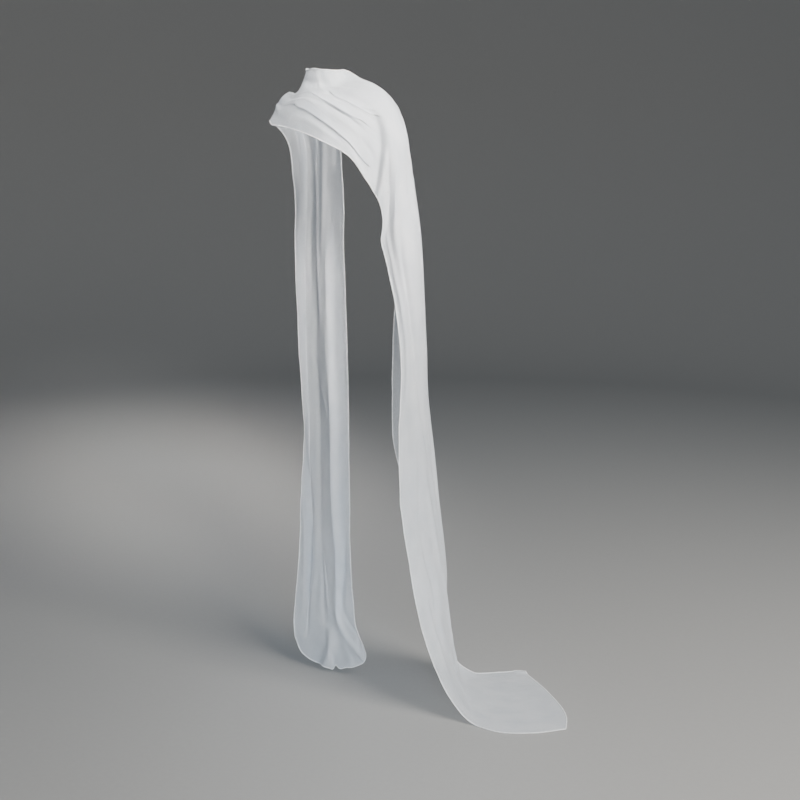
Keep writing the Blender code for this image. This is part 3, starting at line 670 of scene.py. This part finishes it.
def add_cloth_uv(made, u, v):
    """A UV map in metres: across the cloth, then along it."""
    layer = made.data.uv_layers.new(name="cloth")
    corners = np.empty(len(made.data.loops), int)
    made.data.loops.foreach_get("vertex_index", corners)
    layer.data.foreach_set("uv", np.stack([u.ravel(), v.ravel()], axis=1)[corners].ravel())


def make_sheet(points):
    """The scarf's cloth, one sheet."""
    rows, columns = points.shape[:2]
    made = new_object("scarf_cloth", points.reshape(-1, 3), grid_faces(rows, columns))
    across = np.linalg.norm(np.diff(points, axis=1), axis=2)
    along = np.linalg.norm(np.diff(points, axis=0), axis=2).mean(axis=1)
    u = np.concatenate((np.zeros((rows, 1)), np.cumsum(across, axis=1)), axis=1)
    v = np.concatenate(([0.0], np.cumsum(along)))
    add_cloth_uv(made, u, np.broadcast_to(v[:, None], u.shape))
    return made


def edge_frames(points):
    """The cloth's edge all round: places, the way out of the cloth and its normal."""
    normals = unit(np.cross(np.gradient(points, axis=0), np.gradient(points, axis=1)))
    lower = (points[:, 0], points[:, 0] - points[:, 2], normals[:, 0])
    far = (points[-1, 1:-1], points[-1, 1:-1] - points[-3, 1:-1], normals[-1, 1:-1])
    upper = (points[::-1, -1], points[::-1, -1] - points[::-1, -3], normals[::-1, -1])
    near = (points[0, -2:0:-1], points[0, -2:0:-1] - points[2, -2:0:-1], normals[0, -2:0:-1])
    return [np.concatenate(parts) for parts in zip(lower, far, upper, near)]


def even_edge(points, pitch):
    """The edge's frames at an even pitch, as a closed line."""
    place, out, normal = edge_frames(points)
    out = unit(out)
    place = np.vstack([place, place[:1]])
    out = np.vstack([out, out[:1]])
    normal = np.vstack([normal, normal[:1]])
    run = run_length(place)
    even = np.linspace(0.0, run[-1], round(run[-1] / pitch) + 1)[:-1]
    spread_out = [np.stack([np.interp(even, run, column) for column in table.T], axis=1)
                  for table in (place, out, normal)]
    return even, spread_out[0], unit(spread_out[1]), unit(spread_out[2])


def make_hem(points):
    """The rolled hem: a narrow uneven roll along all four edges."""
    even, place, out, normal = even_edge(points, HEM_PITCH)
    angles = np.arange(HEM_SIDES) * 2 * math.pi / HEM_SIDES
    rng = np.random.default_rng(HEM_SEED)
    thick = HEM_RADIUS * (1.0 + HEM_UNEVEN * rng.uniform(-1.0, 1.0, len(even)))
    ring = (out[:, None] * np.cos(angles)[None, :, None]
            + normal[:, None] * np.sin(angles)[None, :, None])
    verts = place[:, None] + ring * thick[:, None, None]
    verts[..., 2] = np.maximum(verts[..., 2], FLOOR)
    count = len(even)
    faces = []
    for i in range(count):
        ring_start = i * HEM_SIDES
        next_start = (i + 1) % count * HEM_SIDES
        for j in range(HEM_SIDES):
            k = (j + 1) % HEM_SIDES
            faces.append((ring_start + j, next_start + j, next_start + k, ring_start + k))
    made = new_object("rolled_hem", verts.reshape(-1, 3), faces)
    u = np.broadcast_to(angles * HEM_RADIUS, (count, HEM_SIDES))
    add_cloth_uv(made, u, np.broadcast_to(even[:, None], u.shape))
    return made


def make_stitches(points):
    """The hem's stitches: short slanting threads over the roll, on the outer side."""
    even, place, out, normal = even_edge(points, STITCH_PITCH)
    forward = unit(np.roll(place, -1, axis=0) - np.roll(place, 1, axis=0))
    sides = STITCH_SIDES
    turn = np.linspace(math.radians(STITCH_TURN[0]), math.radians(STITCH_TURN[1]), STITCH_STEPS)
    slant = np.linspace(-STITCH_SLANT, STITCH_SLANT, STITCH_STEPS) * STITCH_PITCH
    around = np.arange(sides) * 2 * math.pi / sides
    verts = []
    faces = []
    for spot, outward, up, ahead in zip(place, out, normal, forward):
        base = len(verts)
        for angle, shift in zip(turn, slant):
            away = outward * math.cos(angle) + up * math.sin(angle)
            centre = spot + away * (HEM_RADIUS * STITCH_LIFT) + ahead * shift
            for spin in around:
                verts.append(centre + THREAD_RADIUS * (away * math.cos(spin)
                                                       + ahead * math.sin(spin)))
        for i in range(STITCH_STEPS - 1):
            for j in range(sides):
                k = (j + 1) % sides
                faces.append((base + i * sides + j, base + (i + 1) * sides + j,
                              base + (i + 1) * sides + k, base + i * sides + k))
        last = base + (STITCH_STEPS - 1) * sides
        faces.append(tuple(base + j for j in range(sides)))
        faces.append(tuple(last + j for j in reversed(range(sides))))
    verts = np.array(verts)
    verts[:, 2] = np.maximum(verts[:, 2], FLOOR)
    return new_object("hem_stitches", verts, faces)


# Materials

class Nodes:
    """A material's node tree, with short calls to add and join nodes."""

    def __init__(self, name):
        self.material = bpy.data.materials.new(name)
        self.material.use_nodes = True
        self.tree = self.material.node_tree
        self.tree.nodes.clear()

    def add(self, kind, **settings):
        """A new node, with its properties set."""
        node = self.tree.nodes.new(kind)
        for key, value in settings.items():
            setattr(node, key, value)
        return node

    def join(self, source, target):
        """Join an output to an input, or set the input's value."""
        if isinstance(source, (int, float, tuple)):
            target.default_value = source
        else:
            self.tree.links.new(source, target)

    def math(self, operation, *values):
        """A math node's output."""
        node = self.add("ShaderNodeMath", operation=operation)
        for value, socket in zip(values, node.inputs):
            self.join(value, socket)
        return node.outputs[0]

    def noise(self, vector, scale, detail=2.0):
        """A noise texture's value."""
        node = self.add("ShaderNodeTexNoise")
        self.join(vector, node.inputs["Vector"])
        node.inputs["Scale"].default_value = scale
        node.inputs["Detail"].default_value = detail
        return node.outputs["Fac"]

    def stretch(self, vector, scale):
        """A vector scaled by its own factor on each axis."""
        node = self.add("ShaderNodeVectorMath", operation="MULTIPLY")
        self.join(vector, node.inputs[0])
        node.inputs[1].default_value = scale
        return node.outputs[0]

    def ramp(self, value, low, high, out_low, out_high):
        """A value mapped from one range to another, clamped."""
        node = self.add("ShaderNodeMapRange")
        self.join(value, node.inputs["Value"])
        for name, number in (("From Min", low), ("From Max", high), ("To Min", out_low),
                             ("To Max", out_high)):
            node.inputs[name].default_value = number
        return node.outputs["Result"]

    def blend(self, factor, first, second):
        """A colour between two colours."""
        node = self.add("ShaderNodeMix", data_type="RGBA")
        self.join(factor, node.inputs["Factor"])
        node.inputs["A"].default_value = first
        node.inputs["B"].default_value = second
        return node.outputs[2]

    def bump(self, height, strength, distance):
        """A bump node's normal."""
        node = self.add("ShaderNodeBump")
        node.inputs["Strength"].default_value = strength
        node.inputs["Distance"].default_value = distance
        self.join(height, node.inputs["Height"])
        return node.outputs["Normal"]

    def finish(self, shader):
        """Join the shader to the output and give the material."""
        output = self.add("ShaderNodeOutputMaterial")
        self.join(shader, output.inputs["Surface"])
        return self.material


def thread_wave(nodes, coordinate, pitch):
    """Height of one set of threads: 1 on a thread's middle, 0 between two threads."""
    return nodes.math("ABSOLUTE", nodes.math("SINE", nodes.math("MULTIPLY", coordinate,
                                                                 math.pi / pitch)))


def chiffon_material(name, cover_range, shade, light):
    """Sheer plain weave of fine crisp threads, with slightly uneven density and colour.

    cover_range says how much the gaps and the threads cover, shade and light are its colours.
    """
    nodes = Nodes(name)
    uv = nodes.add("ShaderNodeUVMap", uv_map="cloth").outputs["UV"]
    spot = nodes.add("ShaderNodeSeparateXYZ")
    nodes.join(uv, spot.inputs[0])
    across, along = spot.outputs["X"], spot.outputs["Y"]

    # plain weave, with threads that run a little unevenly
    waver = nodes.math("MULTIPLY", nodes.noise(nodes.stretch(uv, (220.0, 220.0, 1.0)), 1.0),
                       THREAD_WAVER)
    warp = thread_wave(nodes, nodes.math("ADD", across, waver), WARP_PITCH)
    weft = thread_wave(nodes, nodes.math("ADD", along, waver), WEFT_PITCH)
    threads = nodes.math("MAXIMUM", warp, weft)
    cover = nodes.ramp(threads, 0.35, 0.95, *cover_range)

    # denser and looser streaks along the threads, and soft clouding
    slubs = nodes.noise(nodes.stretch(uv, (900.0, 22.0, 1.0)), 1.0, 3.0)
    cross_slubs = nodes.noise(nodes.stretch(uv, (26.0, 800.0, 1.0)), 1.0, 3.0)
    cloud = nodes.noise(nodes.stretch(uv, (24.0, 14.0, 1.0)), 1.0, 3.0)
    streaks = nodes.math("ADD", nodes.ramp(slubs, 0.3, 0.7, -0.035, 0.035),
                         nodes.ramp(cross_slubs, 0.3, 0.7, -0.025, 0.025))
    uneven = nodes.math("ADD", streaks, nodes.ramp(cloud, 0.3, 0.7, -0.03, 0.03))
    cover = nodes.math("ADD", cover, uneven)

    colour = nodes.blend(nodes.ramp(cloud, 0.3, 0.7, 0.0, 1.0), shade, light)
    grain = nodes.math("ADD", threads, nodes.math("MULTIPLY", slubs, 0.6))
    normal = nodes.bump(grain, 0.25, WEAVE_DEPTH)

    # the threads: mostly lit from the front, and partly by light that passes through
    surface = nodes.add("ShaderNodeBsdfPrincipled")
    nodes.join(colour, surface.inputs["Base Color"])
    nodes.join(nodes.ramp(slubs, 0.2, 0.8, 0.58, 0.72), surface.inputs["Roughness"])
    surface.inputs["Sheen Weight"].default_value = 0.12
    surface.inputs["Sheen Roughness"].default_value = 0.45
    surface.inputs["Specular IOR Level"].default_value = 0.28
    nodes.join(normal, surface.inputs["Normal"])
    through = nodes.add("ShaderNodeBsdfTranslucent")
    nodes.join(colour, through.inputs["Color"])
    nodes.join(normal, through.inputs["Normal"])
    cloth = nodes.add("ShaderNodeMixShader")
    cloth.inputs[0].default_value = 0.22
    nodes.join(surface.outputs[0], cloth.inputs[1])
    nodes.join(through.outputs[0], cloth.inputs[2])

    # the gaps between them, which are clear
    gaps = nodes.add("ShaderNodeBsdfTransparent")
    sheer = nodes.add("ShaderNodeMixShader")
    nodes.join(cover, sheer.inputs[0])
    nodes.join(gaps.outputs[0], sheer.inputs[1])
    nodes.join(cloth.outputs[0], sheer.inputs[2])
    return nodes.finish(sheer.outputs[0])


def thread_material():
    """White twisted sewing thread."""
    nodes = Nodes("hem_thread")
    place = nodes.add("ShaderNodeTexCoord").outputs["Object"]
    twist = nodes.noise(nodes.stretch(place, (2600.0, 2600.0, 2600.0)), 1.0)
    colour = nodes.blend(twist, (0.74, 0.77, 0.80, 1.0), (0.90, 0.91, 0.92, 1.0))
    surface = nodes.add("ShaderNodeBsdfPrincipled")
    nodes.join(colour, surface.inputs["Base Color"])
    nodes.join(nodes.ramp(twist, 0.3, 0.7, 0.45, 0.65), surface.inputs["Roughness"])
    nodes.join(nodes.bump(twist, 0.4, 0.00008), surface.inputs["Normal"])
    return nodes.finish(surface.outputs[0])


def studio_material():
    """Pale matt paper of the studio's floor and backdrop."""
    nodes = Nodes("studio_paper")
    place = nodes.add("ShaderNodeTexCoord").outputs["Object"]
    fine = nodes.noise(place, 90.0)
    colour = nodes.blend(fine, (0.335, 0.331, 0.322, 1.0), (0.355, 0.351, 0.342, 1.0))
    surface = nodes.add("ShaderNodeBsdfPrincipled")
    nodes.join(colour, surface.inputs["Base Color"])
    surface.inputs["Roughness"].default_value = 0.85
    surface.inputs["Specular IOR Level"].default_value = 0.15
    return nodes.finish(surface.outputs[0])


# Studio

def make_studio():
    """A round floor that sweeps up to a wall all round."""
    angles = np.linspace(0.0, math.pi / 2, SWEEP_RINGS)
    outline = [(radius, 0.0) for radius in STUDIO_RINGS]
    outline += [(STUDIO_RADIUS - STUDIO_SWEEP + STUDIO_SWEEP * math.sin(a),
                 STUDIO_SWEEP - STUDIO_SWEEP * math.cos(a)) for a in angles]
    outline.append((STUDIO_RADIUS, STUDIO_WALL))
    ground = FLOOR - STUDIO_DROP
    spokes = STUDIO_SPOKES
    turn = np.arange(spokes) * 2 * math.pi / spokes
    verts = [(0.0, 0.0, ground)]
    for out, up in outline:
        verts += [(out * math.cos(a), out * math.sin(a), ground + up) for a in turn]
    faces = [(0, 1 + j, 1 + (j + 1) % spokes) for j in range(spokes)]
    for i in range(len(outline) - 1):
        low = 1 + i * spokes
        faces += [(low + j, low + spokes + j, low + spokes + (j + 1) % spokes,
                   low + (j + 1) % spokes) for j in range(spokes)]
    mesh = bpy.data.meshes.new("studio_floor")
    mesh.from_pydata(verts, [], faces)
    mesh.shade_smooth()
    mesh.materials.append(studio_material())
    floor = bpy.data.objects.new("studio_floor", mesh)
    bpy.context.collection.objects.link(floor)


def add_light(lamp):
    """A soft rectangular light, aimed at a point."""
    data = bpy.data.lights.new(lamp.name, "AREA")
    data.shape = "RECTANGLE"
    data.size, data.size_y = lamp.size
    data.energy = lamp.energy
    data.spread = math.radians(lamp.beam)
    data.color = lamp.colour
    made = bpy.data.objects.new(lamp.name, data)
    made.location = lamp.place
    beam = Vector(lamp.aim) - Vector(lamp.place)
    made.rotation_euler = beam.to_track_quat("-Z", "Y").to_euler()
    bpy.context.collection.objects.link(made)


def light_scene():
    """The lights, and a weak cool light from all round."""
    for lamp in LAMPS:
        add_light(lamp)
    world = bpy.data.worlds.new("studio_air")
    world.use_nodes = True
    background = world.node_tree.nodes["Background"]
    background.inputs["Color"].default_value = AIR_COLOUR
    background.inputs["Strength"].default_value = AIR_STRENGTH
    bpy.context.scene.world = world


def add_camera():
    """The camera: in front, round to the wearer's left, looking slightly down."""
    data = bpy.data.cameras.new("camera")
    data.lens = CAMERA_LENS
    data.sensor_width = CAMERA_SENSOR
    data.clip_end = CAMERA_REACH
    camera = bpy.data.objects.new("camera", data)
    camera.location = CAMERA_PLACE
    camera.rotation_euler = (math.radians(90.0 - CAMERA_DOWN), 0.0, math.radians(CAMERA_TURN))
    bpy.context.collection.objects.link(camera)
    bpy.context.scene.camera = camera


def main():
    """Make the scarf, its studio, lights and camera."""
    points = cloth_points()
    cloth = make_sheet(points)
    hem = make_hem(points)
    stitches = make_stitches(points)
    cloth.data.materials.append(chiffon_material("chiffon_cloth", CLOTH_COVER, CLOTH_SHADE,
                                                 CLOTH_LIGHT))
    hem.data.materials.append(chiffon_material("chiffon_hem", HEM_COVER, HEM_SHADE, HEM_LIGHT))
    stitches.data.materials.append(thread_material())
    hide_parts(*NODES)
    make_studio()
    light_scene()
    add_camera()


main()
